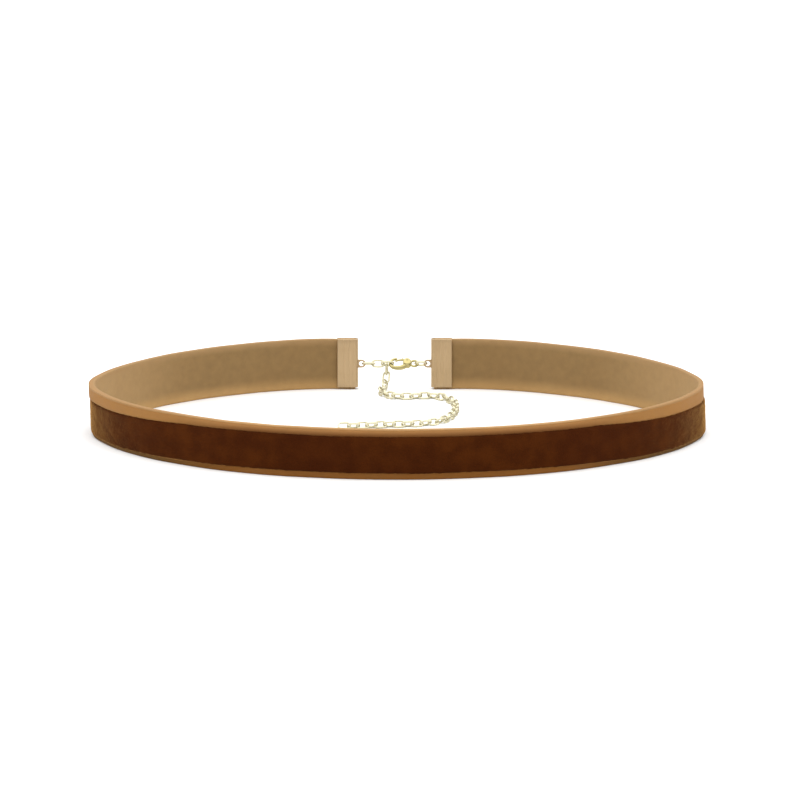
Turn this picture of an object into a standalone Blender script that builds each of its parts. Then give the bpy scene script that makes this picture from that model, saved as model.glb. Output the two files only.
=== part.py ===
"""Velvet choker necklace: a ribbon loop with two metal ends, an extender chain and a lobster clasp.

The necklace stands on the ribbon's lower edge, fastened, with its front towards -Y and its closure
towards +Y. The tail of the extender chain hangs from the hooked link and lies inside the loop.
"""

import math

import bmesh
import bpy
from mathutils import Matrix, Vector

# The loop, seen from above: sizes of the middle of the ribbon's cloth
LOOP_HALF_WIDTH = 0.0588
LOOP_HALF_DEPTH = 0.0450

# Velvet ribbon
RIBBON_WIDTH = 0.0100
CLOTH_THICKNESS = 0.0010
CLOTH_EDGE_ROUND = 0.00015
PILE_HEIGHT = 0.0004
PILE_ROUND = 0.0002
PILE_END_GAP = 0.0002
UPPER_SELVAGE = 0.0015
LOWER_SELVAGE = 0.0011
RIBBON_STEPS = 6

# Right half of the loop, from the front towards the metal end: shares of the half width and half depth
LOOP_ACROSS_BACK = (
    (0.000, -1.000),
    (0.270, -0.958),
    (0.500, -0.855),
    (0.700, -0.683),
    (0.860, -0.470),
    (0.963, -0.222),
    (1.000, 0.004),
    (0.963, 0.228),
    (0.860, 0.476),
    (0.700, 0.707),
    (0.520, 0.868),
    (0.385, 0.948),
    (0.270, 0.984),
)

# Folded metal ends that grip the ribbon
CRIMP_LENGTH = 0.0041
CRIMP_HEIGHT = 0.0096
CRIMP_SHEET = 0.0004
CRIMP_CLEARANCE = 0.00006
CRIMP_FOLD = 0.0005
CRIMP_EDGE_ROUND = 0.00018
LEFT_CRIMP_EDGE = -0.0077
TAB_THICKNESS = 0.00034
TAB_HALF_HEIGHT = 0.0008
TAB_HOLE_RADIUS = 0.0005
TAB_HOLE_OUT = 0.00068
TAB_NECK_STEP = 0.00003
JOIN_OVERLAP = 0.0002

# How far back the straight line of the closure lies, as a share of the half depth
CLOSURE_BACK_SHARE = 0.989

# Chain links
LINK_LENGTH = 0.00275
LINK_WIDTH = 0.0017
LINK_WIRE = 0.00040
LINK_GAP = 0.0001
LINK_END_STEPS = 6
TAUT_ROLLS = (-22, 58, -45)
HOLE_CLEARANCE = 0.0001

# Tail of the chain: it drops from the hooked link, bends and lies on the floor
TAIL_LINKS = 39
TAIL_BEND = 0.0034
TAIL_SLACK = 0.00006
LYING_ROLL = 45
ROLL_SETTLES_OVER = 3
FLOOR_CLEARANCE = 0.00002
ROUTE_STEPS = 12

# The way the tail lies: across, and back from the middle of the loop
TAIL_ROUTE = (
    (-0.0032, 0.0392),
    (-0.0023, 0.0358),
    (-0.0003, 0.0338),
    (0.0030, 0.0338),
    (0.0062, 0.0345),
    (0.0090, 0.0326),
    (0.0109, 0.0280),
    (0.0114, 0.0230),
    (0.0109, 0.0168),
    (0.0094, 0.0111),
    (0.0068, 0.0080),
    (0.0030, 0.0064),
    (-0.0028, 0.0057),
    (-0.0075, 0.0046),
    (-0.0140, 0.0041),
)

# Lobster clasp, in its own plane: along from the outer end of its hook, and up towards the lever
CLASP_ROLL = math.radians(40)
HOOK_RADIUS = 0.00033
HOOK_TURN = 0.00033
HOOK_ROUTE = (
    (0.00130, 0.00108, 0.67),
    (0.00080, 0.00090, 0.85),
    (HOOK_TURN, 0.00005, 1.00),
    (0.00072, -0.00080, 1.10),
    (0.00160, -0.00108, 1.25),
    (0.00270, -0.00092, 1.45),
    (0.00350, -0.00030, 1.60),
)
BLOCK_ALONG = 0.00360
BLOCK_UP = 0.00010
BLOCK_RADIUS = 0.00082
BLOCK_THICKNESS = 0.0015
BLOCK_EDGE_ROUND = 0.00015
PIN_ALONG = 0.00360
PIN_UP = 0.00040
PIN_RADIUS = 0.00015
PIN_CLEARANCE = 0.00004
EYE_ALONG = 0.00500
EYE_RADIUS = 0.00070
EYE_WIRE = 0.00044

# Sprung lever of the clasp
LEVER_ROUTE = (
    (PIN_ALONG, PIN_UP),
    (0.00305, 0.00082),
    (0.00220, 0.00088),
    (0.00147, 0.00067),
)
LEVER_RADIUS = 0.00020
LEVER_HEEL_RADIUS = 0.00036
LEVER_HEEL_THICKNESS = 0.0005
LEVER_SIDE_CLEARANCE = 0.00006
LEVER_SWING_ROOM = 0.00045
THUMB_ALONG = 0.00272
THUMB_UP = 0.00104
THUMB_RADIUS = 0.00026

# Jump ring between the clasp's eye and the right metal end
RING_WIRE = 0.00042
RING_RADIUS = 0.00112
RING_ROLL = math.radians(-28)
RING_STEPS = 20
RING_CLEARANCE = 0.00008

# Facets of round pieces
ROUND_SIDES = 16
EYE_STEPS = 16

FINISHES = {
    "velvet": ((0.105, 0.020, 0.006, 1.0), 0.95, 0.0),
    "ribbon_end_metal": ((0.52, 0.35, 0.19, 1.0), 0.42, 1.0),
    "chain_metal": ((0.78, 0.68, 0.42, 1.0), 0.25, 1.0),
    "clasp_metal": ((0.74, 0.64, 0.36, 1.0), 0.28, 1.0),
}

for leftover in list(bpy.data.objects):
    bpy.data.objects.remove(leftover, do_unlink=True)
for leftover in list(bpy.data.collections):
    bpy.data.collections.remove(leftover)

necklace = bpy.data.collections.new("choker_necklace")
bpy.context.scene.collection.children.link(necklace)
shaping = bpy.data.collections.new("shaping_helpers")
bpy.context.scene.collection.children.link(shaping)
shaping.hide_render = True


in_line = Vector((1, 0, 0))
upwards = Vector((0, 0, 1))


def finish(name):
    colour, roughness, metallic = FINISHES[name]
    material = bpy.data.materials.new(name)
    material.use_nodes = True
    shader = material.node_tree.nodes["Principled BSDF"]
    shader.inputs["Base Color"].default_value = colour
    shader.inputs["Roughness"].default_value = roughness
    shader.inputs["Metallic"].default_value = metallic
    material.diffuse_color = colour
    return material


materials = {name: finish(name) for name in FINISHES}


def piece(name, mesh, material, placed=None):
    """A named piece of the necklace."""
    made = bpy.data.objects.new(name, mesh)
    necklace.objects.link(made)
    mesh.materials.clear()
    mesh.materials.append(materials[material])
    if placed is not None:
        made.matrix_world = placed
    return made


def helper(name, mesh, placed=None):
    """A hidden shape that cuts or builds up a piece."""
    made = bpy.data.objects.new(name, mesh)
    shaping.objects.link(made)
    made.hide_render = True
    made.display_type = "WIRE"
    if placed is not None:
        made.matrix_world = placed
    return made


def combine(target, other, operation):
    step = target.modifiers.new(other.name, "BOOLEAN")
    step.operation = operation
    step.solver = "EXACT"
    step.object = other


def mesh_of(curve_object):
    """The closed mesh of a curve, which is then removed."""
    bpy.context.view_layer.update()
    graph = bpy.context.evaluated_depsgraph_get()
    mesh = bpy.data.meshes.new_from_object(curve_object.evaluated_get(graph))
    bpy.data.objects.remove(curve_object, do_unlink=True)
    shape = bmesh.new()
    shape.from_mesh(mesh)
    bmesh.ops.remove_doubles(shape, verts=shape.verts, dist=1e-7)
    bmesh.ops.recalc_face_normals(shape, faces=shape.faces)
    shape.to_mesh(mesh)
    shape.free()
    return mesh


def wire(points, radius, closed, side_steps=1, shares=None, smooth_steps=0):
    """The mesh of a round wire through the points."""
    data = bpy.data.curves.new("wire", "CURVE")
    data.dimensions = "3D"
    data.bevel_depth = radius
    data.bevel_resolution = side_steps
    data.use_fill_caps = not closed
    if smooth_steps:
        data.resolution_u = smooth_steps
        spline = data.splines.new("BEZIER")
        spline.bezier_points.add(len(points) - 1)
        ends = spline.bezier_points
        for end, point in zip(ends, points):
            end.co = point
            end.handle_left_type = "AUTO"
            end.handle_right_type = "AUTO"
    else:
        spline = data.splines.new("POLY")
        spline.points.add(len(points) - 1)
        ends = spline.points
        for end, point in zip(ends, points):
            end.co = (*point, 1.0)
    for end, share in zip(ends, shares or [1.0] * len(points)):
        end.radius = share
    spline.use_cyclic_u = closed
    drawn = bpy.data.objects.new("wire", data)
    shaping.objects.link(drawn)
    return mesh_of(drawn)


def box_mesh(size, edge_round=0.0):
    shape = bmesh.new()
    bmesh.ops.create_cube(shape, size=1.0, matrix=Matrix.Diagonal((*size, 1.0)))
    if edge_round:
        bmesh.ops.bevel(
            shape, geom=shape.edges[:], offset=edge_round, segments=1, affect="EDGES"
        )
    mesh = bpy.data.meshes.new("block")
    shape.to_mesh(mesh)
    shape.free()
    return mesh


def disc_mesh(radius, thickness, edge_round=0.0):
    """A disc whose axis is Z."""
    shape = bmesh.new()
    bmesh.ops.create_cone(
        shape,
        cap_ends=True,
        segments=ROUND_SIDES,
        radius1=radius,
        radius2=radius,
        depth=thickness,
    )
    if edge_round:
        rims = [edge for edge in shape.edges if abs(edge.verts[0].co.z - edge.verts[1].co.z) < 1e-9]
        bmesh.ops.bevel(shape, geom=rims, offset=edge_round, segments=1, affect="EDGES")
    mesh = bpy.data.meshes.new("disc")
    shape.to_mesh(mesh)
    shape.free()
    return mesh


def ball_mesh(radius):
    shape = bmesh.new()
    bmesh.ops.create_uvsphere(shape, u_segments=10, v_segments=6, radius=radius)
    mesh = bpy.data.meshes.new("ball")
    shape.to_mesh(mesh)
    shape.free()
    return mesh


def circle_points(radius, sides):
    turns = [2 * math.pi * (i + 0.5) / sides for i in range(sides)]
    return [Vector((radius * math.cos(turn), radius * math.sin(turn), 0)) for turn in turns]


# Places along the closure, from the left metal end through the chain and the clasp to the right one
closure_back = CLOSURE_BACK_SHARE * LOOP_HALF_DEPTH
closure_height = RIBBON_WIDTH / 2
link_reach = (LINK_LENGTH - LINK_WIRE) / 2
link_pitch = 2 * link_reach - LINK_WIRE - LINK_GAP
left_hole = LEFT_CRIMP_EDGE + TAB_HOLE_OUT
first_link = left_hole + TAB_HOLE_RADIUS - HOLE_CLEARANCE - LINK_WIRE / 2 + link_reach
hooked_link = first_link + link_pitch * (len(TAUT_ROLLS) - 1)
hook_line = hooked_link + link_reach - LINK_WIRE / 2 - LINK_GAP - HOOK_RADIUS
clasp_start = hook_line - HOOK_TURN
ring_left = clasp_start + EYE_ALONG + EYE_RADIUS - EYE_WIRE / 2 - RING_CLEARANCE - RING_WIRE / 2
ring_middle = ring_left + RING_RADIUS
right_hole = ring_middle + RING_RADIUS - RING_WIRE / 2 - HOLE_CLEARANCE + TAB_HOLE_RADIUS
right_crimp_edge = right_hole + TAB_HOLE_OUT


def on_closure(along):
    return Vector((along, closure_back, closure_height))


# Velvet ribbon: the cloth runs into both metal ends, and the pile stops short of them
hidden_cloth = CRIMP_LENGTH - CRIMP_FOLD - CRIMP_CLEARANCE
left_mouth = LEFT_CRIMP_EDGE - CRIMP_LENGTH
right_mouth = right_crimp_edge + CRIMP_LENGTH


def loop_points():
    """Points of the loop from the left end round the front to the right end."""
    right = [(across * LOOP_HALF_WIDTH, back * LOOP_HALF_DEPTH) for across, back in LOOP_ACROSS_BACK]
    left = [(-x, y) for x, y in reversed(right[1:])]
    start = [(left_mouth + hidden_cloth, closure_back), (left_mouth, closure_back)]
    end = [(right_mouth, closure_back), (right_mouth - hidden_cloth, closure_back)]
    return start + left + right + end


def ribbon_sweep(name, corners, trim=0.0):
    """A flat section swept round the loop, without the given length at each end."""
    section = bpy.data.curves.new(name + "_section", "CURVE")
    section.dimensions = "2D"
    outline = section.splines.new("POLY")
    outline.points.add(len(corners) - 1)
    for corner, (out, up) in zip(outline.points, corners):
        corner.co = (out, up, 0.0, 1.0)
    outline.use_cyclic_u = True
    section_object = bpy.data.objects.new(name + "_section", section)
    shaping.objects.link(section_object)

    path = bpy.data.curves.new(name, "CURVE")
    path.dimensions = "3D"
    path.twist_mode = "Z_UP"
    path.resolution_u = RIBBON_STEPS
    path.bevel_mode = "OBJECT"
    path.bevel_object = section_object
    path.use_fill_caps = True
    spline = path.splines.new("BEZIER")
    points = loop_points()
    spline.bezier_points.add(len(points) - 1)
    for knot, (x, y) in zip(spline.bezier_points, points):
        knot.co = (x, y, 0.0)
        knot.handle_left_type = "AUTO"
        knot.handle_right_type = "AUTO"
    straight_left, straight_right = spline.bezier_points[1], spline.bezier_points[-2]
    for mouth in (spline.bezier_points[1], spline.bezier_points[-2]):
        mouth.handle_left_type = "FREE"
        mouth.handle_right_type = "FREE"
        mouth.handle_left = mouth.co + Vector((CRIMP_LENGTH / 2, 0, 0))
        mouth.handle_right = mouth.co - Vector((CRIMP_LENGTH / 2, 0, 0))
    if trim:
        path.bevel_factor_mapping_start = "SPLINE"
        path.bevel_factor_mapping_end = "SPLINE"
        path.bevel_factor_start = trim / spline.calc_length()
        path.bevel_factor_end = 1 - path.bevel_factor_start
    swept = bpy.data.objects.new(name, path)
    shaping.objects.link(swept)
    mesh = mesh_of(swept)
    bpy.data.objects.remove(section_object, do_unlink=True)
    return mesh


def cloth_corners():
    half = CLOTH_THICKNESS / 2
    corner = CLOTH_EDGE_ROUND
    return (
        (-half + corner, 0),
        (half - corner, 0),
        (half, corner),
        (half, RIBBON_WIDTH - corner),
        (half - corner, RIBBON_WIDTH),
        (-half + corner, RIBBON_WIDTH),
        (-half, RIBBON_WIDTH - corner),
        (-half, corner),
    )


def pile_corners():
    root = 0.0
    top = CLOTH_THICKNESS / 2 + PILE_HEIGHT
    low = LOWER_SELVAGE
    high = RIBBON_WIDTH - UPPER_SELVAGE
    return (
        (root, low),
        (top - PILE_ROUND, low),
        (top, low + PILE_ROUND),
        (top, high - PILE_ROUND),
        (top - PILE_ROUND, high),
        (root, high),
    )


ribbon = piece("velvet_ribbon", ribbon_sweep("cloth", cloth_corners()), "velvet")
pile = helper("pile", ribbon_sweep("pile_band", pile_corners(), hidden_cloth + PILE_END_GAP))
combine(ribbon, pile, "UNION")


# Metal ends: a folded sheet closed towards the gap, with a holed tab at mid height
def crimp(name, edge, tab_hole, towards_gap):
    cloth_room = CLOTH_THICKNESS + 2 * CRIMP_CLEARANCE
    middle = on_closure(edge - towards_gap * CRIMP_LENGTH / 2)
    body = piece(
        name,
        box_mesh((CRIMP_LENGTH, cloth_room + 2 * CRIMP_SHEET, CRIMP_HEIGHT), CRIMP_EDGE_ROUND),
        "ribbon_end_metal",
        Matrix.Translation(middle),
    )
    slot = helper(
        name + "_slot",
        box_mesh((CRIMP_LENGTH, cloth_room, 2 * CRIMP_HEIGHT)),
        Matrix.Translation(middle - in_line * (towards_gap * CRIMP_FOLD)),
    )
    neck = (
        TAB_HOLE_OUT + JOIN_OVERLAP,
        TAB_THICKNESS - 2 * TAB_NECK_STEP,
        2 * (TAB_HALF_HEIGHT - TAB_NECK_STEP),
    )
    tab = helper(
        name + "_tab",
        box_mesh(neck),
        Matrix.Translation(on_closure(tab_hole - towards_gap * neck[0] / 2)),
    )
    at_hole = Matrix.Translation(on_closure(tab_hole)) @ Matrix.Rotation(math.pi / 2, 4, "X")
    nose = helper(name + "_tab_nose", disc_mesh(TAB_HALF_HEIGHT, TAB_THICKNESS), at_hole)
    hole = helper(name + "_tab_hole", disc_mesh(TAB_HOLE_RADIUS, 2 * TAB_THICKNESS), at_hole)
    combine(body, slot, "DIFFERENCE")
    combine(body, tab, "UNION")
    combine(body, nose, "UNION")
    combine(body, hole, "DIFFERENCE")


crimp("left_ribbon_end", LEFT_CRIMP_EDGE, left_hole, 1)
crimp("right_ribbon_end", right_crimp_edge, right_hole, -1)


# Chain links
def link_mesh():
    """An oval link in the XY plane, its length along X."""
    end_radius = (LINK_WIDTH - LINK_WIRE) / 2
    straight = (LINK_LENGTH - LINK_WIRE) / 2 - end_radius
    points = []
    for way in (1, -1):
        for i in range(LINK_END_STEPS + 1):
            turn = math.pi * (i / LINK_END_STEPS - 0.5)
            points.append(
                (way * (straight + end_radius * math.cos(turn)), way * end_radius * math.sin(turn), 0)
            )
    return wire(points, LINK_WIRE / 2, closed=True)


link_shape = link_mesh()


def place_link(number, middle, along, across):
    """A link at its middle, with its length and its width in the two given directions."""
    normal = along.cross(across).normalized()
    across = normal.cross(along)
    turned = Matrix((along, across, normal)).transposed().to_4x4()
    return piece(
        f"chain_link_{number:02d}",
        link_shape.copy(),
        "chain_metal",
        Matrix.Translation(middle) @ turned,
    )


def crosswise(roll):
    """The direction across the closure at this angle, from -Y downwards."""
    return Vector((0, -math.cos(roll), -math.sin(roll)))


for number, roll in enumerate(TAUT_ROLLS):
    taut_middle = on_closure(first_link + number * link_pitch)
    place_link(number + 1, taut_middle, in_line, crosswise(math.radians(roll)))

# The tail hangs from the lower side of the hooked link, between the next link's wire and the hook
hooked_across = crosswise(math.radians(TAUT_ROLLS[-1]))
tail_top = on_closure(hooked_link) - hooked_across * ((LINK_WIDTH - LINK_WIRE) / 2)
next_wire_edge = hooked_link - link_reach + LINK_WIRE * 1.5 + LINK_GAP
tail_top.x = (next_wire_edge + hook_line - HOOK_RADIUS) / 2
tail_top.z += (LINK_WIRE + LINK_GAP) / 2


def open_curve(points, steps):
    """Closely spaced points of a smooth curve through the given points."""
    data = bpy.data.curves.new("route", "CURVE")
    data.dimensions = "3D"
    data.resolution_u = steps
    spline = data.splines.new("BEZIER")
    spline.bezier_points.add(len(points) - 1)
    for knot, point in zip(spline.bezier_points, points):
        knot.co = point
        knot.handle_left_type = "AUTO"
        knot.handle_right_type = "AUTO"
    drawn = bpy.data.objects.new("route", data)
    shaping.objects.link(drawn)
    bpy.context.view_layer.update()
    graph = bpy.context.evaluated_depsgraph_get()
    mesh = bpy.data.meshes.new_from_object(drawn.evaluated_get(graph))
    bpy.data.objects.remove(drawn, do_unlink=True)
    return [vertex.co.copy() for vertex in mesh.vertices]


def tail_line(top, onward, lying_height):
    """The line of the tail: straight down, round a bend, then along its route on the floor."""
    bend_top = lying_height + TAIL_BEND
    line = [top, Vector((top.x, top.y, bend_top))]
    for i in range(1, ROUTE_STEPS + 1):
        turn = math.pi / 2 * i / ROUTE_STEPS
        line.append(
            Vector((top.x, top.y, bend_top))
            + onward * (TAIL_BEND * (1 - math.cos(turn)))
            - upwards * (TAIL_BEND * math.sin(turn))
        )
    lying = [line[-1]] + [Vector((across, back, lying_height)) for across, back in TAIL_ROUTE]
    return line + open_curve(lying, ROUTE_STEPS)[1:]


def joints_along(line, spacing, count):
    """Points on the line, each at the same straight distance from the one before."""
    joints = [line[0]]
    for near, far in zip(line, line[1:]):
        while (far - joints[-1]).length >= spacing and len(joints) <= count:
            low, high = 0.0, 1.0
            for _ in range(40):
                middle = (low + high) / 2
                if (near.lerp(far, middle) - joints[-1]).length < spacing:
                    low = middle
                else:
                    high = middle
            joints.append(near.lerp(far, high))
    return joints


side_drop = (LINK_WIDTH - LINK_WIRE) / 2 * math.sin(math.radians(LYING_ROLL))
lying_height = side_drop + LINK_WIRE / 2 + FLOOR_CLEARANCE
onward = (Vector(TAIL_ROUTE[0]) - tail_top.xy).normalized().to_3d()
line = tail_line(tail_top, onward, lying_height)
joints = joints_along(line, link_pitch - TAIL_SLACK, TAIL_LINKS)
level = upwards.cross(onward)
for number, (start, end) in enumerate(zip(joints, joints[1:])):
    along = (end - start).normalized()
    level = (level - along * level.dot(along)).normalized()
    settled = min(number / ROLL_SETTLES_OVER, 1)
    roll = math.radians(90 * (number + 1) + LYING_ROLL * settled)
    across = level * math.cos(roll) + along.cross(level) * math.sin(roll)
    place_link(len(TAUT_ROLLS) + 1 + number, (start + end) / 2, along, across)


# Lobster clasp: hook, pivot block and eye in one piece, slotted for the lever
in_clasp = Matrix.Translation(on_closure(clasp_start)) @ Matrix.Rotation(CLASP_ROLL, 4, "X")


def clasp_place(along, up):
    return in_clasp @ Matrix.Translation((along, up, 0))


hook_points = [(along, up, 0) for along, up, _ in HOOK_ROUTE]
hook_shares = [share for _, _, share in HOOK_ROUTE]
clasp = piece(
    "clasp_body",
    wire(hook_points, HOOK_RADIUS, False, side_steps=2, shares=hook_shares, smooth_steps=4),
    "clasp_metal",
    in_clasp,
)
block = helper(
    "clasp_block",
    disc_mesh(BLOCK_RADIUS, BLOCK_THICKNESS, BLOCK_EDGE_ROUND),
    clasp_place(BLOCK_ALONG, BLOCK_UP),
)
eye = helper(
    "clasp_eye",
    wire(circle_points(EYE_RADIUS, EYE_STEPS), EYE_WIRE / 2, True, side_steps=2),
    clasp_place(EYE_ALONG, 0),
)
lever_slot = LEVER_HEEL_THICKNESS + 2 * LEVER_SIDE_CLEARANCE
swing_room = helper(
    "clasp_slot",
    box_mesh((2 * BLOCK_RADIUS, 2 * BLOCK_RADIUS, lever_slot)),
    clasp_place(PIN_ALONG - BLOCK_RADIUS, PIN_UP - LEVER_SWING_ROOM + BLOCK_RADIUS),
)
heel_room = helper(
    "clasp_heel_room",
    disc_mesh(LEVER_HEEL_RADIUS + LEVER_SIDE_CLEARANCE, lever_slot),
    clasp_place(PIN_ALONG, PIN_UP),
)
pin_hole = helper(
    "clasp_pin_hole",
    disc_mesh(PIN_RADIUS + PIN_CLEARANCE, 2 * BLOCK_THICKNESS),
    clasp_place(PIN_ALONG, PIN_UP),
)
combine(clasp, block, "UNION")
combine(clasp, eye, "UNION")
combine(clasp, swing_room, "DIFFERENCE")
combine(clasp, heel_room, "DIFFERENCE")
combine(clasp, pin_hole, "DIFFERENCE")

# Lever: an arm from its heel on the pin to the hook's tip, with a thumb knob
lever = piece(
    "clasp_lever",
    wire(
        [(along, up, 0) for along, up in LEVER_ROUTE],
        LEVER_RADIUS,
        False,
        side_steps=2,
        smooth_steps=4,
    ),
    "clasp_metal",
    in_clasp,
)
heel = helper(
    "lever_heel",
    disc_mesh(LEVER_HEEL_RADIUS, LEVER_HEEL_THICKNESS),
    clasp_place(PIN_ALONG, PIN_UP),
)
thumb = helper("lever_thumb", ball_mesh(THUMB_RADIUS), clasp_place(THUMB_ALONG, THUMB_UP))
combine(lever, heel, "UNION")
combine(lever, thumb, "UNION")
combine(lever, pin_hole, "DIFFERENCE")

piece(
    "clasp_pin",
    disc_mesh(PIN_RADIUS, BLOCK_THICKNESS),
    "clasp_metal",
    clasp_place(PIN_ALONG, PIN_UP),
)

# Jump ring, pulled tight between the eye and the right tab
ring_across = crosswise(RING_ROLL)
ring_turn = Matrix((in_line, ring_across, in_line.cross(ring_across))).transposed().to_4x4()
piece(
    "jump_ring",
    wire(circle_points(RING_RADIUS, RING_STEPS), RING_WIRE / 2, True),
    "chain_metal",
    Matrix.Translation(on_closure(ring_middle)) @ ring_turn,
)
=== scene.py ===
"""Velvet choker necklace, fastened and standing on the ribbon's lower edge."""

import math

import bmesh
import bpy
import numpy as np
from mathutils import Matrix, Vector, noise


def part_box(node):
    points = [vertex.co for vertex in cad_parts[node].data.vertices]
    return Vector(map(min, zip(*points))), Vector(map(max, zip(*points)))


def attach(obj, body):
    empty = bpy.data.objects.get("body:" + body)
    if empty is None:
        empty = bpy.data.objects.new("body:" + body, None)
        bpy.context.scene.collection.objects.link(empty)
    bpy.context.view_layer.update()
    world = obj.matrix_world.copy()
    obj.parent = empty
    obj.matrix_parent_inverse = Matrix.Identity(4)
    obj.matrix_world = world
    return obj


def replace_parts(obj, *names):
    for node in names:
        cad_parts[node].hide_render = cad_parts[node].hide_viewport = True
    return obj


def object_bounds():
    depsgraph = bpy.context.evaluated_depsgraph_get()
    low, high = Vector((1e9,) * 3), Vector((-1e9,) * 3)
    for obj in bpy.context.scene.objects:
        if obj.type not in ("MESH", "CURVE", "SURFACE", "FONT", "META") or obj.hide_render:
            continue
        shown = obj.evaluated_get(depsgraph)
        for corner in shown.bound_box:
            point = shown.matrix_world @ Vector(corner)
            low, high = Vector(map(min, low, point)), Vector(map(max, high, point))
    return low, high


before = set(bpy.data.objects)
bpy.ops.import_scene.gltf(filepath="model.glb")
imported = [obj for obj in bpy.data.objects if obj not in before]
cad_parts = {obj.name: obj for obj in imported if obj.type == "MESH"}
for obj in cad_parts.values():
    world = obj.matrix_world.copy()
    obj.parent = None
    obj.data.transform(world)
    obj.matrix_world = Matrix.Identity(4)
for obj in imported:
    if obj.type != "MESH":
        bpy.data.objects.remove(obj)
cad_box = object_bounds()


# Camera: a long lens from the front, a little above the necklace, as a table-top product picture
# is taken. It looks at the middle of the loop.
def placed(name, data):
    """A new object in the scene."""
    made = bpy.data.objects.new(name, data)
    bpy.context.scene.collection.objects.link(made)
    return made


look_at = Vector((0.00049, 0.0, 0.00663))
elevation = math.radians(11.3)
lens_mm = 1400
sensor_mm = 36
frame_width = 0.15534
far_limit = 60
camera_data = bpy.data.cameras.new("long_lens")
camera_data.lens = lens_mm
camera_data.sensor_width = sensor_mm
camera_data.clip_end = far_limit
backwards = Vector((0, -math.cos(elevation), math.sin(elevation)))
camera = placed("camera", camera_data)
camera.location = look_at + backwards * (frame_width * lens_mm / sensor_mm)
camera.rotation_euler = (-backwards).to_track_quat("-Z", "Y").to_euler()
bpy.context.scene.camera = camera
bpy.context.scene.view_settings.view_transform = "Standard"


# Floor and light: a smooth pale table top under large soft lamps, one overhead, one at each side
# and a weak one in front, in a white room.
class Number:
    """A number that a node gives. Sums with it add Math nodes."""

    def __init__(self, finish, socket):
        self.finish = finish
        self.socket = socket

    def sum_of(self, operation, *terms):
        return self.finish.node("ShaderNodeMath", {"operation": operation}, dict(enumerate(terms)))

    def __add__(self, other):
        return self.sum_of("ADD", self, other)

    def __sub__(self, other):
        return self.sum_of("SUBTRACT", self, other)

    def __rsub__(self, other):
        return self.sum_of("SUBTRACT", other, self)

    def __mul__(self, other):
        return self.sum_of("MULTIPLY", self, other)

    __radd__ = __add__
    __rmul__ = __mul__

    def sine(self):
        return self.sum_of("SINE", self)

    def size(self):
        return self.sum_of("ABSOLUTE", self)

    def share(self, low, high):
        """0 below low and 1 above high, with a soft step between them."""
        return self.finish.node(
            "ShaderNodeMapRange",
            {"interpolation_type": "SMOOTHSTEP"},
            {"Value": self, "From Min": low, "From Max": high},
        )


class Finish:
    """A material, with the constants of its surface given by the names of their sockets."""

    def __init__(self, name, constants):
        self.material = bpy.data.materials.new(name)
        self.material.use_nodes = True
        self.tree = self.material.node_tree
        self.surface = self.tree.nodes["Principled BSDF"]
        for socket, value in constants.items():
            self.surface.inputs[socket].default_value = value

    def node(self, kind, settings, sockets, output=0):
        """The output of a new node, whose settings are set before its sockets."""
        made = self.tree.nodes.new(kind)
        for name, value in settings.items():
            setattr(made, name, value)
        for name, value in sockets.items():
            if isinstance(value, Number):
                self.tree.links.new(value.socket, made.inputs[name])
            else:
                made.inputs[name].default_value = value
        return Number(self, made.outputs[output])

    def mixed(self, share, first, second):
        """A colour between two others."""
        return self.node(
            "ShaderNodeMix",
            {"data_type": "RGBA"},
            {0: share, 6: first, 7: second},
            output=2,
        )

    def cloudy(self, place, scale, detail=2.0):
        """Soft noise from 0 to 1, with so many spots to a metre."""
        return self.node(
            "ShaderNodeTexNoise", {}, {"Vector": place, "Scale": scale, "Detail": detail}
        )

    def mottled(self, share, colour, spread):
        """A colour that runs from a little darker to a little lighter."""
        ends = [tuple(part * (1 + side * spread) for part in colour) + (1,) for side in (-1, 1)]
        return self.mixed(share, *ends)

    def kept(self, name, output):
        """What each point of a mesh keeps under a name: output 1 for a place, 2 for a number."""
        return self.node("ShaderNodeAttribute", {"attribute_name": name}, {}, output)

    def object_place(self):
        return self.node("ShaderNodeTexCoord", {}, {}, output=3)

    def parts(self, vector):
        """The three numbers of a vector."""
        split = self.node("ShaderNodeSeparateXYZ", {}, {"Vector": vector}).socket.node
        return [Number(self, output) for output in split.outputs]

    def set(self, socket, value):
        self.tree.links.new(value.socket, self.surface.inputs[socket])

    def relief(self, height, depth):
        """Raises the surface by height times depth, in metres."""
        sockets = {"Strength": 1.0, "Distance": depth, "Height": height}
        self.set("Normal", self.node("ShaderNodeBump", {}, sockets))


table_top = Finish("pale_table_top", {"Roughness": 0.8, "Specular IOR Level": 0.1})
grain = table_top.cloudy(table_top.object_place(), 90, 3.0)
table_top.set(
    "Base Color", table_top.mixed(grain, (0.90, 0.90, 0.90, 1), (0.93, 0.93, 0.925, 1))
)
floor_radius = 6.0
floor_mesh = bpy.data.meshes.new("floor")
floor_shape = bmesh.new()
bmesh.ops.create_circle(floor_shape, cap_ends=True, segments=96, radius=floor_radius)
floor_shape.to_mesh(floor_mesh)
floor_shape.free()
floor_mesh.materials.append(table_top.material)
floor = placed("floor", floor_mesh)
floor.location.z = cad_box[0].z

room = bpy.data.worlds.new("white_room")
room.use_nodes = True
walls = room.node_tree.nodes["Background"].inputs
walls["Color"].default_value = (1.0, 1.0, 1.0, 1)
walls["Strength"].default_value = 0.87
bpy.context.scene.world = room


def lamp(name, place, size, watts):
    """A square soft lamp that faces the necklace."""
    light = bpy.data.lights.new(name, "AREA")
    light.size = size
    light.energy = watts
    stand = placed(name, light)
    stand.location = place
    stand.rotation_euler = (-Vector(place)).to_track_quat("-Z", "Y").to_euler()
    stand.visible_camera = False


lamp("overhead_lamp", (0.0, 0.1, 1.3), 2.0, 19)
lamp("left_lamp", (-1.2, -0.1, 0.6), 0.9, 5)
lamp("right_lamp", (1.2, -0.1, 0.6), 0.9, 5)
lamp("front_lamp", (0.1, -1.5, 0.9), 0.9, 1)


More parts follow.
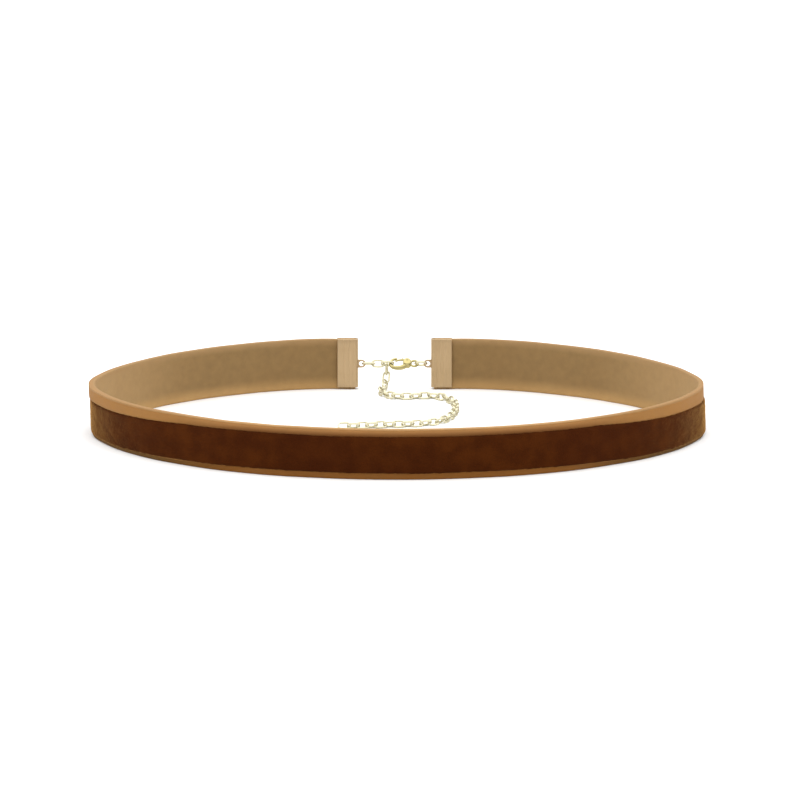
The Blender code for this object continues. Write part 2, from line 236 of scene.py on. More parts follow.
# Ribbon ground: a tan woven ribbon 10 mm wide, cut to one length and stood on edge in a loop.
# Its two borders are left bare, with a rolled rim, and both cut ends go into the metal ends.
loop_half_width = 0.0588
loop_half_depth = 0.0450
ribbon_width = 0.0100
cloth_thickness = 0.0010
closure_back = 0.989 * loop_half_depth
closure_height = ribbon_width / 2
end_length = 0.0041
end_fold = 0.0005
end_clearance = 0.00006
left_end_edge = -0.0077
right_end_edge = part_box("right_ribbon_end")[1].x - end_length
hidden_cloth = end_length - end_fold - end_clearance
# The right half of the loop from the front backwards, as shares of its half width and depth.
loop_shares = (
    (0.000, -1.000),
    (0.270, -0.958),
    (0.500, -0.855),
    (0.700, -0.683),
    (0.860, -0.470),
    (0.963, -0.222),
    (1.000, 0.004),
    (0.963, 0.228),
    (0.860, 0.476),
    (0.700, 0.707),
    (0.520, 0.868),
    (0.385, 0.948),
    (0.270, 0.984),
)
same_place = 1e-8


def shaped(thing):
    """The mesh that an object gives once it is worked out. The object itself is removed."""
    bpy.context.view_layer.update()
    worked = thing.evaluated_get(bpy.context.evaluated_depsgraph_get())
    mesh = bpy.data.meshes.new_from_object(worked)
    bpy.data.objects.remove(thing)
    return mesh


def loop_line(spacing):
    """The ribbon's middle at even steps: its points, their outward directions and how far along
    each one is."""
    left_mouth = left_end_edge - end_length
    right_mouth = right_end_edge + end_length
    right = [(x * loop_half_width, y * loop_half_depth) for x, y in loop_shares]
    left = [(-x, y) for x, y in reversed(right[1:])]
    knots = [(left_mouth + hidden_cloth, closure_back), (left_mouth, closure_back)]
    knots += left + right
    knots += [(right_mouth, closure_back), (right_mouth - hidden_cloth, closure_back)]
    data = bpy.data.curves.new("loop", "CURVE")
    data.dimensions = "3D"
    data.resolution_u = 48
    spline = data.splines.new("BEZIER")
    spline.bezier_points.add(len(knots) - 1)
    for knot, (x, y) in zip(spline.bezier_points, knots):
        knot.co = (x, y, 0)
        knot.handle_left_type = knot.handle_right_type = "AUTO"
    for knot in (spline.bezier_points[1], spline.bezier_points[-2]):
        knot.handle_left_type = knot.handle_right_type = "FREE"
        knot.handle_left = knot.co + Vector((end_length / 2, 0, 0))
        knot.handle_right = knot.co - Vector((end_length / 2, 0, 0))
    points = np.array([vertex.co[:2] for vertex in shaped(placed("loop", data)).vertices])
    steps = np.linalg.norm(np.diff(points, axis=0), axis=1)
    points = points[np.concatenate(([True], steps > same_place))]
    along = np.concatenate(([0], np.cumsum(np.linalg.norm(np.diff(points, axis=0), axis=1))))
    even = np.linspace(0, along[-1], int(round(along[-1] / spacing)) + 1)
    middle = np.column_stack([np.interp(even, along, points[:, i]) for i in range(2)])
    ahead = np.gradient(middle, axis=0)
    ahead /= np.linalg.norm(ahead, axis=1)[:, None]
    return middle, np.column_stack([ahead[:, 1], -ahead[:, 0]]), even


def dressed(name, mesh, finish, body):
    """A new piece of the necklace that moves with a body."""
    mesh.materials.clear()
    mesh.materials.append(finish.material)
    made = placed(name, mesh)
    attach(made, body)
    return made


upper_border = 0.0015
# From the left side round the front to the right side, in millimetres: place across, extra bare
# border above the pile, bare border below it, swelling of the upper border, height of the pile,
# and how far the top and the foot lean outwards.
ribbon_run = np.array(
    (
        (-58.8, 1.28, 0.50, 0.46, 0.24, 0.30, 0.00),
        (-54.0, 1.10, 0.55, 0.36, 0.22, 0.12, -0.20),
        (-47.0, 0.68, 0.80, 0.26, 0.24, 0.03, -0.12),
        (-40.0, 0.25, 0.95, 0.16, 0.28, 0.00, 0.00),
        (-25.0, 0.08, 1.16, 0.10, 0.30, 0.00, 0.00),
        (25.0, 0.10, 1.16, 0.10, 0.30, 0.00, 0.00),
        (39.0, 0.22, 0.95, 0.12, 0.30, 0.00, 0.00),
        (44.0, 0.65, 0.70, 0.15, 0.30, 0.00, 0.00),
        (54.0, 1.22, 0.55, 0.18, 0.28, 0.00, 0.10),
        (58.8, 1.48, 0.50, 0.16, 0.34, 0.04, 0.26),
    )
) / 1000
# The same measures round the back, reached this far behind the loop's middle.
back_run = np.array((0.45, 0.85, 0.14, 0.30, 0.0, 0.0)) / 1000
back_reached = 0.036


def run_at(line, i):
    """The ribbon's own small differences at one place. Round the back it is even."""
    x, y = line[0][i]
    here = np.array([np.interp(x, ribbon_run[:, 0], column) for column in ribbon_run[:, 1:].T])
    behind = min(max(y / back_reached, 0.0), 1.0)
    return here + (back_run - here) * behind * behind * (3 - 2 * behind)


def ragged(along, across, layer, height):
    """A small smooth unevenness of the cloth, always the same at the same place."""
    return noise.noise(Vector((along, across, layer))) * height


def quarter(out, up, radius, start):
    """Points of a quarter circle round a centre, anticlockwise from a turn."""
    return [
        (out + radius * math.cos(turn), up + radius * math.sin(turn))
        for turn in np.linspace(start, start + math.pi / 2, 6)
    ]


def swept_band(name, line, section):
    """A closed mesh swept along a line. At each place its section gives points, each so far out,
    so far up and with its share of a bare border, and the whole leans there as the ribbon does.
    A point keeps its place in the cloth: along, up and out."""
    middle, outward, along = line
    places = range(len(along))
    out, up, share = np.moveaxis(np.array([section(i) for i in places]), -1, 0)
    top_lean, foot_lean = np.array([run_at(line, i)[4:] for i in places]).T[..., None]
    reach = out + foot_lean + (top_lean - foot_lean) * up / ribbon_width
    points = np.empty(out.shape + (3,))
    points[..., :2] = middle[:, None] + outward[:, None] * reach[..., None]
    points[..., 2] = up
    index = np.arange(out.size).reshape(out.shape)
    beside = np.roll(index, -1, axis=1)
    corners = (index[:-1], index[1:], beside[1:], beside[:-1])
    faces = np.stack(corners, axis=-1).reshape(-1, 4).tolist()
    faces += [index[0].tolist(), index[-1, ::-1].tolist()]
    mesh = bpy.data.meshes.new(name)
    mesh.from_pydata(points.reshape(-1, 3).tolist(), [], faces)
    in_cloth = np.stack([np.broadcast_to(along[:, None], out.shape), up, out], axis=-1)
    for label, kind, field, values in (
        ("cloth_place", "FLOAT_VECTOR", "vector", in_cloth),
        ("border_share", "FLOAT", "value", share),
    ):
        kept = mesh.attributes.new(label, kind, "POINT")
        kept.data.foreach_set(field, values.astype(np.float32).ravel())
    shape = bmesh.new()
    shape.from_mesh(mesh)
    bmesh.ops.recalc_face_normals(shape, faces=shape.faces)
    for face in shape.faces:
        face.smooth = True
    shape.to_mesh(mesh)
    shape.free()
    return mesh


face_inset = 0.00006
top_inset = 0.00005
rim_wave = 0.00004
swelling_fade = 0.0020
border_shoulder = 0.0001
below_border = 0.0002
groove_down = 0.00036
groove_half_width = 0.00009
groove_depth = 0.00009
foot_round, rim_round, inner_round = 0.0003, 0.00016, 0.00026


def ground_section(i):
    """The ribbon's thin section: up its outer face, over its swollen top, down its inner face."""
    extra, lower, swelling = run_at(ground_line, i)[:3]
    place = ground_line[2][i]
    to_end = min(place, ground_line[2][-1] - place) - hidden_cloth
    swelling *= min(max(to_end / swelling_fade, 0.0), 1.0)
    half = cloth_thickness / 2 - face_inset
    wave = ragged(place * 160, 0.0, 3.7, rim_wave)
    top = ribbon_width - top_inset + wave
    edge = ribbon_width - upper_border - extra
    points = quarter(half - foot_round, foot_round, foot_round, -math.pi / 2)
    points += [(half, up) for up in np.linspace(foot_round, edge - below_border, 14)[1:]]
    for up in np.linspace(edge - below_border, top - rim_round, 28)[1:]:
        rise = 1 - math.exp(-max(up - edge, 0) / border_shoulder)
        in_groove = (top - up - groove_down) / groove_half_width
        points.append((half + (swelling - math.exp(-(in_groove**2)) * groove_depth) * rise, up))
    rim_middle = half + swelling - rim_round
    points += quarter(rim_middle, top - rim_round, rim_round, 0)[1:]
    points += [(out, top) for out in np.linspace(rim_middle, inner_round - half, 6)[1:-1]]
    points += quarter(inner_round - half, top - inner_round, inner_round, math.pi / 2)
    for up in np.linspace(top - inner_round, foot_round, 30)[1:-1]:
        points.append((-half + wave * 0.5, up))
    points += quarter(foot_round - half, foot_round, foot_round, math.pi)
    section = []
    for out, up in points:
        above = (up - edge) / (top - edge)
        below = up / lower - 1
        section.append((out, up, max(above, 0.0) + min(below, 0.0)))
    return section


ground_finish = Finish(
    "tan_ribbon_weave",
    {
        "Specular IOR Level": 0.12,
        "Sheen Weight": 0.10,
        "Sheen Roughness": 0.4,
        "Sheen Tint": (0.95, 0.68, 0.40, 1),
    },
)
cloth_place = ground_finish.kept("cloth_place", 1)
border = ground_finish.kept("border_share", 2)
along, up, out = ground_finish.parts(cloth_place)
ground_line = loop_line(0.0005)
cloth_length = float(ground_line[2][-1])
warp_pitch = 0.00024
weft_pitch = 0.00032
warp = (up * (2 * math.pi / warp_pitch)).sine()
weft = (along * (2 * math.pi / weft_pitch)).sine()
threads = (warp * weft) * 0.5 + 0.5
worn = ground_finish.cloudy(cloth_place, 700, 4.0)
broad = ground_finish.cloudy(cloth_place, 90, 2.0)
mottle = threads * 0.4 + worn * 0.6
inside = 1 - out.share(-0.0002, 0.0002)
from_front = (along - cloth_length / 2).size()
# Share towards the loop's sides, where the borders take other painted light and shade, as light
# falls on them differently there than at the front.
to_side = from_front.share(0.026, 0.056)
closure_shade_share = from_front.share(0.095, 0.125)
# Upper bare border at the front: painted shade, dark next to the pile and lighter up towards its
# top, as if lit from above.
above_pile_painted_shade = ground_finish.mixed(
    border.share(0.0, 0.95),
    ground_finish.mottled(mottle, (0.130, 0.046, 0.009), 0.18),
    ground_finish.mottled(mottle, (0.385, 0.185, 0.060), 0.14),
)
above_at_side = ground_finish.mottled(mottle, (0.285, 0.134, 0.036), 0.14)
upper = ground_finish.mixed(to_side, above_pile_painted_shade, above_at_side)
# Painted highlight along the top of the upper border, lighter at the front than at the sides.
rim = ground_finish.mixed(
    to_side,
    ground_finish.mottled(mottle, (0.450, 0.262, 0.112), 0.12),
    ground_finish.mottled(mottle, (0.330, 0.186, 0.076), 0.12),
)
upper = ground_finish.mixed(border.share(0.78, 0.92), upper, rim)
# Lower bare border: painted shade, darker than the upper border because it lies away from the
# light; darker still at the sides.
lower = ground_finish.mixed(
    to_side,
    ground_finish.mottled(mottle, (0.205, 0.078, 0.013), 0.18),
    ground_finish.mottled(mottle, (0.105, 0.048, 0.009), 0.18),
)
outer = ground_finish.mixed((0 - border).share(0.0, 0.15), upper, lower)
# Inner field: painted shade, darker near the closure at the back and lighter towards the loop's
# sides.
field = ground_finish.mixed(
    closure_shade_share,
    ground_finish.mottled(mottle, (0.332, 0.210, 0.092), 0.24),
    ground_finish.mottled(mottle, (0.236, 0.145, 0.058), 0.26),
)
inner_top = ground_finish.mottled(mottle, (0.325, 0.200, 0.088), 0.15)
inner_foot = ground_finish.mottled(mottle, (0.425, 0.256, 0.100), 0.15)
inner = ground_finish.mixed(up.share(0.0084, 0.0098), field, inner_top)
inner = ground_finish.mixed(1 - up.share(0.0002, 0.0028), inner, inner_foot)
sided = ground_finish.mixed(inside, outer, inner)
handled = broad.share(0.35, 0.75) * 0.14
ground_finish.set("Base Color", ground_finish.mixed(handled, sided, (0.24, 0.13, 0.045, 1)))
ground_finish.set("Roughness", 0.62 + worn * 0.22)
ground_finish.relief(threads * 0.8 + worn * 0.4, 0.00005)

ground = dressed(
    "ribbon_ground",
    swept_band("ribbon_ground", ground_line, ground_section),
    ground_finish,
    "choker",
)
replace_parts(ground, "velvet_ribbon")


# Velvet pile: short dense brown pile woven into the middle band of the ground's outer face. It
# stops just short of the metal ends, and its nap is brushed a little uneven.
pile_stop = 0.0002
pile_inset = 0.00012
pile_root = 0.0003
pile_shoulder = 0.00016


def pile_section(i):
    """The pile's section: a low band with soft, slightly ragged shoulders."""
    extra, lower, _, height = run_at(pile_line, i)[:4]
    place = pile_line[2][i]
    low = lower + ragged(place * 900, 0, 0, 0.00009) + ragged(place * 110, 5, 0, 0.00006)
    high = ribbon_width - upper_border - extra
    high += ragged(place * 900, 9, 0, 0.00009) + ragged(place * 110, 7, 0, 0.00007)
    face = cloth_thickness / 2 - pile_inset
    deep = face - pile_root
    points = [(deep, low, 0.0)]
    for share in np.linspace(0, 1, 51):
        up = low + (high - low) * share
        to_edge = min(share, 1 - share) * (high - low)
        rise = 1 - math.exp(-to_edge / pile_shoulder)
        nap = ragged(place * 420, up * 900, 2.2, 0.00005)
        nap += ragged(place * 2600, up * 2600, 6.1, 0.00004)
        points.append((face + (pile_inset + height + nap) * rise, up, 0.0))
    return points + [(deep, high, 0.0)]


velvet = Finish(
    "brown_velvet_pile",
    {
        "Roughness": 0.95,
        "Specular IOR Level": 0.05,
        "Sheen Weight": 1.0,
        "Sheen Roughness": 0.26,
        "Sheen Tint": (0.90, 0.50, 0.15, 1),
    },
)
pile_place = velvet.kept("cloth_place", 1)
tufts = velvet.cloudy(pile_place, 5200, 2.0)
nap_way = velvet.cloudy(pile_place, 320, 3.0)
brushed = velvet.cloudy(pile_place, 60, 2.0)
deep_brown = velvet.mottled(tufts, (0.0420, 0.0088, 0.0009), 0.60)
napped = velvet.mixed(nap_way.share(0.35, 0.7) * 0.55, deep_brown, (0.072, 0.0172, 0.0017, 1))
pile_colour = velvet.mixed(brushed.share(0.4, 0.65) * 0.4, napped, (0.034, 0.0062, 0.0010, 1))
velvet.set("Base Color", pile_colour)
velvet.relief(tufts + nap_way * 0.6, 0.00009)

whole = loop_line(0.0003)
bare_end = hidden_cloth + pile_stop
kept = (whole[2] > bare_end) & (whole[2] < whole[2][-1] - bare_end)
pile_line = tuple(part[kept] for part in whole)
pile = dressed(
    "velvet_pile", swept_band("velvet_pile", pile_line, pile_section), velvet, "choker"
)


# Metal ends: a strip of thin brass sheet folded over each cut end of the ribbon and pressed shut,
# with a holed tab on its fold for the chain or the jump ring. Plated a matt, pale gold.
end_height = 0.0096
end_lift = 0.0002
end_sheet = 0.0004
end_corner = 0.00055
end_rim = 0.00013
crease_places = (0.0009, 0.0018, 0.0028)
crease_half_width = 0.00013
crease_depth = 0.00005
tab_thickness = 0.00034
tab_half_height = 0.0008
tab_rim = 0.00008
tab_root = 0.0002
tab_hole_radius = 0.0005
tab_hole_out = 0.00068

end_metal = Finish("matt_gold_plate", {"Metallic": 0.95})
end_place = end_metal.object_place()
upright = end_metal.node(
    "ShaderNodeMapping", {}, {"Vector": end_place, "Scale": (1.3, 1.3, 0.05)}
)
stripes = end_metal.cloudy(upright, 900, 2.0)
brushing = end_metal.cloudy(end_place, 6000, 2.0)
stain = end_metal.cloudy(end_place, 420, 3.0)
streaks = stripes * 0.6 + brushing * 0.4
gold = end_metal.mottled(streaks, (0.455, 0.326, 0.186), 0.13)
stained = stain.share(0.45, 0.8) * 0.2
end_metal.set("Base Color", end_metal.mixed(stained, gold, (0.36, 0.245, 0.127, 1)))
end_metal.set("Roughness", 0.33 + brushing * 0.16)
end_metal.relief(streaks, 0.00001)


def ring_faces(rings, sides, closed):
    """Faces between neighbouring rings of corners, and from the last to the first if closed."""
    faces = []
    for i in range(rings if closed else rings - 1):
        this, following = i * sides, (i + 1) % rings * sides
        for k in range(sides):
            beside = (k + 1) % sides
            faces.append((this + k, this + beside, following + beside, following + k))
    return faces


def folded_strip(edge, towards_gap):
    """The folded sheet: its plan outline carried upwards, with soft rims and pressed creases."""
    inner = cloth_thickness / 2 + end_clearance
    outer = inner + end_sheet
    lip = end_sheet / 2
    half_outline = [(x, inner) for x in np.linspace(-end_fold, lip - end_length, 12)]
    for turn in np.linspace(-math.pi / 2, -math.pi * 1.5, 9)[1:-1]:
        x = lip - end_length + lip * math.cos(turn)
        half_outline.append((x, inner + lip + lip * math.sin(turn)))
    for x in np.linspace(lip - end_length, -end_corner, 48):
        creases = sum(math.exp(-(((x + at) / crease_half_width) ** 2)) for at in crease_places)
        half_outline.append((x, outer - creases * crease_depth))
    for turn in np.linspace(math.pi / 2, 0, 8)[1:]:
        x = end_corner * (math.cos(turn) - 1)
        half_outline.append((x, outer - end_corner * (1 - math.sin(turn))))
    outline = np.array(half_outline + [(x, -y) for x, y in reversed(half_outline)])
    ahead = np.roll(outline, -1, axis=0) - np.roll(outline, 1, axis=0)
    ahead /= np.linalg.norm(ahead, axis=1)[:, None]
    inwards = np.column_stack([ahead[:, 1], -ahead[:, 0]])
    bend = [
        (end_rim * (1 - math.sin(turn)), end_rim * (1 - math.cos(turn)))
        for turn in np.linspace(0, math.pi / 2, 5)
    ]
    half = end_height / 2
    levels = [(low - half, inset) for inset, low in bend]
    levels += [(up, 0.0) for up in np.linspace(end_rim - half, half - end_rim, 12)[1:-1]]
    levels += [(half - low, inset) for inset, low in reversed(bend)]
    middle = closure_height + end_lift
    verts = []
    for up, inset in levels:
        for x, y in outline + inwards * inset:
            verts.append((edge + towards_gap * x, closure_back + y, middle + up))
    count = len(outline)
    faces = [tuple(range(count)), tuple(range(len(verts) - count, len(verts)))]
    return verts, faces + ring_faces(len(levels), count, False)


def tab(edge, towards_gap):
    """The flat tab: a soft-edged section carried round its hole, run into the fold."""
    hole = edge + towards_gap * tab_hole_out
    half = tab_thickness / 2
    rim = ((0.0, tab_rim), (tab_rim * 0.3, tab_rim * 0.3), (tab_rim, 0.0))
    steps = 48
    verts = []
    for k in range(steps):
        turn = 2 * math.pi * k / steps
        ahead, rise = math.cos(turn), math.sin(turn)
        reach = tab_half_height
        if ahead < 0:
            to_fold = (tab_hole_out + tab_root) / -ahead
            to_side = tab_half_height / max(abs(rise), 1e-6)
            reach = min(to_fold, to_side)
        under = [(tab_hole_radius + inset, low - half) for inset, low in rim]
        under += [(reach - inset, low - half) for inset, low in reversed(rim)]
        for r, y in under + [(r, -y) for r, y in reversed(under)]:
            x = hole + towards_gap * r * ahead
            verts.append((x, closure_back + y, closure_height + r * rise))
    return verts, ring_faces(steps, len(verts) // steps, True)


def softly_shaded(mesh, sharpest):
    """The mesh shaded smooth, except at edges that turn by more than so many degrees."""
    mesh.polygons.foreach_set("use_smooth", [True] * len(mesh.polygons))
    mesh.set_sharp_from_angle(angle=math.radians(sharpest))
    return mesh


def closed_mesh(name, shells):
    """One mesh from closed shells, its faces turned outwards and its sharp rims kept crisp."""
    verts, faces = [], []
    for shell_verts, shell_faces in shells:
        base = len(verts)
        verts += [tuple(vert) for vert in shell_verts]
        faces += [tuple(base + i for i in face) for face in shell_faces]
    mesh = bpy.data.meshes.new(name)
    mesh.from_pydata(verts, [], faces)
    shape = bmesh.new()
    shape.from_mesh(mesh)
    bmesh.ops.triangulate(shape, faces=[face for face in shape.faces if len(face.verts) > 4])
    bmesh.ops.recalc_face_normals(shape, faces=shape.faces)
    shape.to_mesh(mesh)
    shape.free()
    return softly_shaded(mesh, 50)


for side, edge, towards_gap in (("left", left_end_edge, 1), ("right", right_end_edge, -1)):
    name = side + "_metal_end"
    strip = closed_mesh(name, [folded_strip(edge, towards_gap), tab(edge, towards_gap)])
    made = dressed(name, strip, end_metal, "choker")
    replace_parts(made, side + "_ribbon_end")


# Chain: oval links of round brass wire, each bent shut round the last and soldered. Three are
# pulled tight between the left end and the hook, and the rest hang from the third as a tail.
link_length = 0.00275
link_width = 0.0017
link_wire = 0.0004
solder_swelling = 1.1

chain_metal = Finish("pale_gold_chain", {"Metallic": 0.92})
chain_place = chain_metal.object_place()
chain_stain = chain_metal.cloudy(chain_place, 900, 3.0)
chain_scratch = chain_metal.cloudy(chain_place, 9000, 2.0)
pale = chain_metal.mottled(chain_stain, (0.66, 0.62, 0.44), 0.17)
chain_worn = chain_scratch.share(0.55, 0.8) * 0.25
chain_metal.set("Base Color", chain_metal.mixed(chain_worn, pale, (0.49, 0.42, 0.25, 1)))
chain_metal.set("Roughness", 0.28 + chain_stain * 0.16)
chain_metal.relief(chain_scratch + chain_stain, 0.000012)


def bent_wire(points, radii, sides, closed):
    """A shell of round wire along a flat path in the XY plane, with a radius at each point."""
    path = np.array(points, float)
    if closed:
        ahead = np.roll(path, -1, axis=0) - np.roll(path, 1, axis=0)
    else:
        ahead = np.gradient(path, axis=0)
    ahead /= np.linalg.norm(ahead, axis=1)[:, None]
    side = np.column_stack([-ahead[:, 1], ahead[:, 0], np.zeros(len(path))])
    verts = []
    for point, across, radius in zip(path, side, radii):
        for k in range(sides):
            turn = 2 * math.pi * k / sides
            rise = np.array((0, 0, radius * math.sin(turn)))
            verts.append(point + across * radius * math.cos(turn) + rise)
    faces = ring_faces(len(path), sides, closed)
    if not closed:
        faces += [tuple(range(sides)), tuple(range(len(verts) - sides, len(verts)))]
    return verts, faces


def oval_link():
    """One link: its straight sides, round ends and the small swelling of its soldered joint."""
    bend = (link_width - link_wire) / 2
    straight = (link_length - link_wire) / 2 - bend
    points, radii = [], []
    for way in (1, -1):
        for turn in np.linspace(-math.pi / 2, math.pi / 2, 15):
            out_along, out_across = straight + bend * math.cos(turn), bend * math.sin(turn)
            points.append((way * out_along, way * out_across, 0))
            radii.append(link_wire / 2)
        for share in (0.25, 0.5, 0.75):
            soldered = way == 1 and share == 0.5
            points.append((way * straight * (1 - 2 * share), way * bend, 0))
            radii.append(link_wire / 2 * (solder_swelling if soldered else 1.0))
    return bent_wire(points, radii, 14, True)


def standing(node):
    """Where a flat node lies, from the spread of its corners: its longest way along X and its
    thinnest along Z."""
    corners = np.array([vertex.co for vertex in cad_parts[node].data.vertices])
    corners = np.unique(np.round(corners, 7), axis=0)
    middle = corners.mean(0)
    _, ways = np.linalg.eigh(np.cov((corners - middle).T))
    longest, normal = Vector(ways[:, 2]), Vector(ways[:, 0])
    turned = Matrix((longest, normal.cross(longest), normal)).transposed().to_4x4()
    return Matrix.Translation(Vector(middle)) @ turned


for node in sorted(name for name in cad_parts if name.startswith("chain_link")):
    link_mesh = closed_mesh(node, [oval_link()])
    link_mesh.transform(standing(node))
    name = node.replace("chain_link", "oval_link")
    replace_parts(dressed(name, link_mesh, chain_metal, "choker"), node)


# Clasp body: a small cast lobster hook with a slotted pivot block and an eye, in one piece,
# polished and plated the same pale gold as the chain.
pin_at = (0.00360, 0.00040)
pin_radius = 0.00015
pin_clearance = 0.00004
pin_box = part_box("clasp_pin")
clasp_start = pin_box[0].x / 2 + pin_box[1].x / 2 - pin_at[0]
clasp_roll = math.radians(40)
clasp_moved = Matrix.Translation((clasp_start, closure_back, closure_height))
in_clasp = clasp_moved @ Matrix.Rotation(clasp_roll, 4, "X")
hook_radius = 0.00033
# The hook's middle from its tip to the block, with its thickness as a share of hook_radius.
hook_route = (
    (0.00164, 0.00121, 0.67),
    (0.00080, 0.00090, 0.85),
    (0.00033, 0.00005, 1.00),
    (0.00072, -0.00080, 1.10),
    (0.00160, -0.00108, 1.25),
    (0.00270, -0.00092, 1.45),
    (0.00350, -0.00030, 1.60),
)
block_at = (0.00360, 0.00010)
block_radius = 0.00082
block_thickness = 0.0015
block_rim = 0.00022
eye_at = 0.00500
eye_radius = 0.00070
eye_wire = 0.00044
eye_steps = 48
heel_radius = 0.00036
heel_thickness = 0.0005
side_clearance = 0.00006
slot_below_pin = 0.00045
slot_top = 0.0016
cutter_rim = 0.00002

clasp_metal = Finish("polished_gold_clasp", {"Metallic": 0.95})
clasp_place = clasp_metal.object_place()
clasp_stain = clasp_metal.cloudy(clasp_place, 800, 3.0)
clasp_scratch = clasp_metal.cloudy(clasp_place, 7000, 2.0)
bright = clasp_metal.mottled(clasp_stain, (0.430, 0.370, 0.165), 0.16)
clasp_worn = clasp_scratch.share(0.55, 0.8) * 0.3
clasp_metal.set("Base Color", clasp_metal.mixed(clasp_worn, bright, (0.31, 0.25, 0.10, 1)))
clasp_metal.set("Roughness", 0.24 + clasp_stain * 0.16)
clasp_metal.relief(clasp_scratch + clasp_stain, 0.000010)


def smooth_route(points, steps):
    """Points of a smooth curve through the given ones, each a tuple of numbers."""
    points = [np.array(point, float) for point in points]
    ends = [2 * points[0] - points[1]] + points + [2 * points[-1] - points[-2]]
    line = []
    for a, b, c, d in zip(ends, ends[1:], ends[2:], ends[3:]):
        square, cube = 2 * a - 5 * b + 4 * c - d, 3 * b - a - 3 * c + d
        for k in range(steps):
            t = k / steps
            line.append(0.5 * (2 * b + (c - a) * t + square * t**2 + cube * t**3))
    line.append(points[-1])
    return np.array(line)


def puck(at, radius, thickness, rim):
    """A shell of a round block whose axis is Z, with rounded rims."""
    half = thickness / 2
    core = radius - rim
    turns = np.linspace(0, math.pi / 2, 5)
    rings = [(core + rim * math.sin(turn), rim * (1 - math.cos(turn)) - half) for turn in turns]
    rings += [(core + rim * math.cos(turn), half - rim * (1 - math.sin(turn))) for turn in turns]
    sides = 40
    verts = [(*at, -half), (*at, half)]
    for r, z in rings:
        for k in range(sides):
            turn = 2 * math.pi * k / sides
            verts.append((at[0] + r * math.cos(turn), at[1] + r * math.sin(turn), z))
    faces = [tuple(2 + i for i in face) for face in ring_faces(len(rings), sides, False)]
    last = len(verts) - sides
    for k in range(sides):
        beside = (k + 1) % sides
        faces += [(0, 2 + beside, 2 + k), (1, last + k, last + beside)]
    return verts, faces


def block_shell(low, high):
    """A plain box shell, to cut with."""
    xs, ys, zs = zip(low, high)
    corners = [(x, y, z) for x in xs for y in ys for z in zs]
    sides = [(0, 1, 3, 2), (4, 6, 7, 5), (0, 4, 5, 1), (2, 3, 7, 6), (0, 2, 6, 4), (1, 5, 7, 3)]
    return corners, sides


def cast(name, shells, cutters, voxel, rounds):
    """Metal cast in one: shells run together and smoothed, less the cutters. It is worked larger,
    where the remesher has room."""
    enlarged = 1000
    large = Matrix.Scale(enlarged, 4)
    mesh = closed_mesh(name, shells)
    mesh.transform(large)
    made = placed(name, mesh)
    together = made.modifiers.new("together", "REMESH")
    together.mode = "VOXEL"
    together.voxel_size = voxel * enlarged
    soften = made.modifiers.new("soften", "SMOOTH")
    soften.factor = 0.5
    soften.iterations = rounds
    tools = []
    for number, cutter in enumerate(cutters):
        tool_mesh = closed_mesh(name + "_tool", [cutter])
        tool_mesh.transform(large)
        tools.append(placed(f"{name}_tool_{number}", tool_mesh))
        cut = made.modifiers.new(tools[-1].name, "BOOLEAN")
        cut.operation = "DIFFERENCE"
        cut.solver = "EXACT"
        cut.object = tools[-1]
    finished = shaped(made)
    for tool in tools:
        bpy.data.objects.remove(tool)
    finished.transform(in_clasp @ Matrix.Scale(1 / enlarged, 4))
    return softly_shaded(finished, 45)


hook = smooth_route([(x, y, 0, share) for x, y, share in hook_route], 8)
hook_shell = bent_wire(hook[:, :3], hook[:, 3] * hook_radius, 18, False)
eye_points = [
    (eye_at + eye_radius * math.cos(turn), eye_radius * math.sin(turn), 0)
    for turn in np.linspace(0, 2 * math.pi, eye_steps, endpoint=False)
]
eye_shell = bent_wire(eye_points, [eye_wire / 2] * eye_steps, 16, True)
slot_half = heel_thickness / 2 + side_clearance
slot_low = (pin_at[0] - 2 * block_radius, pin_at[1] - slot_below_pin, -slot_half)
body_mesh = cast(
    "clasp_body",
    [hook_shell, eye_shell, puck(block_at, block_radius, block_thickness, block_rim)],
    [
        block_shell(slot_low, (pin_at[0], slot_top, slot_half)),
        puck(pin_at, heel_radius + side_clearance, 2 * slot_half, cutter_rim),
        puck(pin_at, pin_radius + pin_clearance, 2 * block_thickness, cutter_rim),
    ],
    0.00004,
    6,
)
clasp_body = dressed("lobster_clasp_body", body_mesh, clasp_metal, "choker")
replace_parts(clasp_body, "clasp_body")


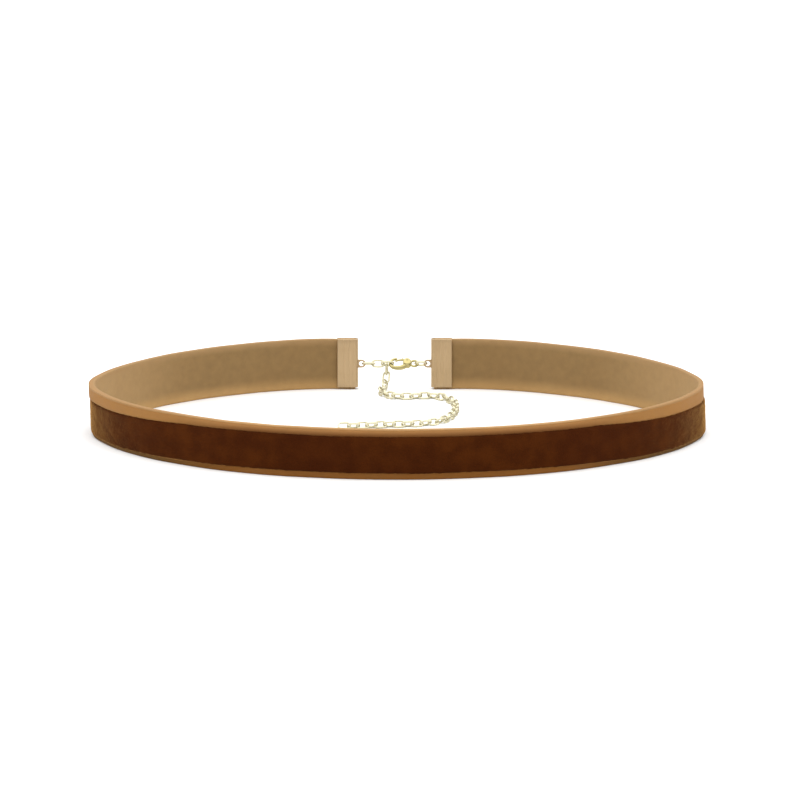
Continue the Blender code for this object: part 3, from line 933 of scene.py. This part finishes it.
# Clasp lever: a thin cast arm that a hidden spring holds shut against the hook's tip. It turns on
# the pin, and a small knob on it takes the thumb.
lever_route = ((*pin_at, 0), (0.00305, 0.00082, 0), (0.00220, 0.00088, 0), (0.00130, 0.00061, 0))
lever_radius = 0.00020
heel_rim = 0.00006
thumb_at = (0.00272, 0.00104, 0)
thumb_radius = 0.00026
thumb_blunt = 0.02
lever_line = smooth_route(lever_route, 8)
arm = bent_wire(lever_line, [lever_radius] * len(lever_line), 14, False)
thumb_steps = np.linspace(-1, 1, 9)
thumb = bent_wire(
    [(thumb_at[0] + s * thumb_radius, thumb_at[1], 0) for s in thumb_steps],
    [thumb_radius * math.sqrt(max(1 - s * s, thumb_blunt)) for s in thumb_steps],
    14,
    False,
)
lever_mesh = cast(
    "clasp_lever",
    [arm, thumb, puck(pin_at, heel_radius, heel_thickness, heel_rim)],
    [puck(pin_at, pin_radius + pin_clearance, block_thickness, cutter_rim)],
    0.00003,
    4,
)
clasp_lever = dressed("lobster_clasp_lever", lever_mesh, clasp_metal, "clasp_lever")
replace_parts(clasp_lever, "clasp_lever")


# Clasp pin: a short round rivet of the same metal through the pivot block and the lever's heel,
# its ends headed over flush.
pin_rim = 0.00005
pin_mesh = closed_mesh("clasp_pin", [puck(pin_at, pin_radius, block_thickness, pin_rim)])
pin_mesh.transform(in_clasp)
clasp_pin = dressed("lobster_clasp_pin", pin_mesh, clasp_metal, "choker")
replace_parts(clasp_pin, "clasp_pin")


# Jump ring: round wire bent to a ring and closed through the clasp's eye and the right tab, its
# two cut ends meeting in a fine open joint.
ring_radius = 0.00112
ring_wire = 0.00042
ring_joint = 0.00003
ring_joint_turn = 1.9
ring_steps = 61
ring_roll = math.radians(-28)
ring_middle = (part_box("jump_ring")[0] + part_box("jump_ring")[1]) / 2
half_joint = ring_joint / 2 / ring_radius
ring_points = [
    (ring_radius * math.cos(turn), ring_radius * math.sin(turn), 0)
    for turn in np.linspace(half_joint, 2 * math.pi - half_joint, ring_steps) + ring_joint_turn
]
ring_shell = bent_wire(ring_points, [ring_wire / 2] * ring_steps, 14, False)
ring_mesh = closed_mesh("jump_ring", [ring_shell])
ring_across = Vector((0, -math.cos(ring_roll), -math.sin(ring_roll)))
ring_along = Vector((1, 0, 0))
ring_axis = ring_along.cross(ring_across)
ring_turn = Matrix((ring_along, ring_across, ring_axis)).transposed().to_4x4()
ring_mesh.transform(Matrix.Translation(ring_middle) @ ring_turn)
ring = dressed("closed_jump_ring", ring_mesh, chain_metal, "choker")
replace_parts(ring, "jump_ring")
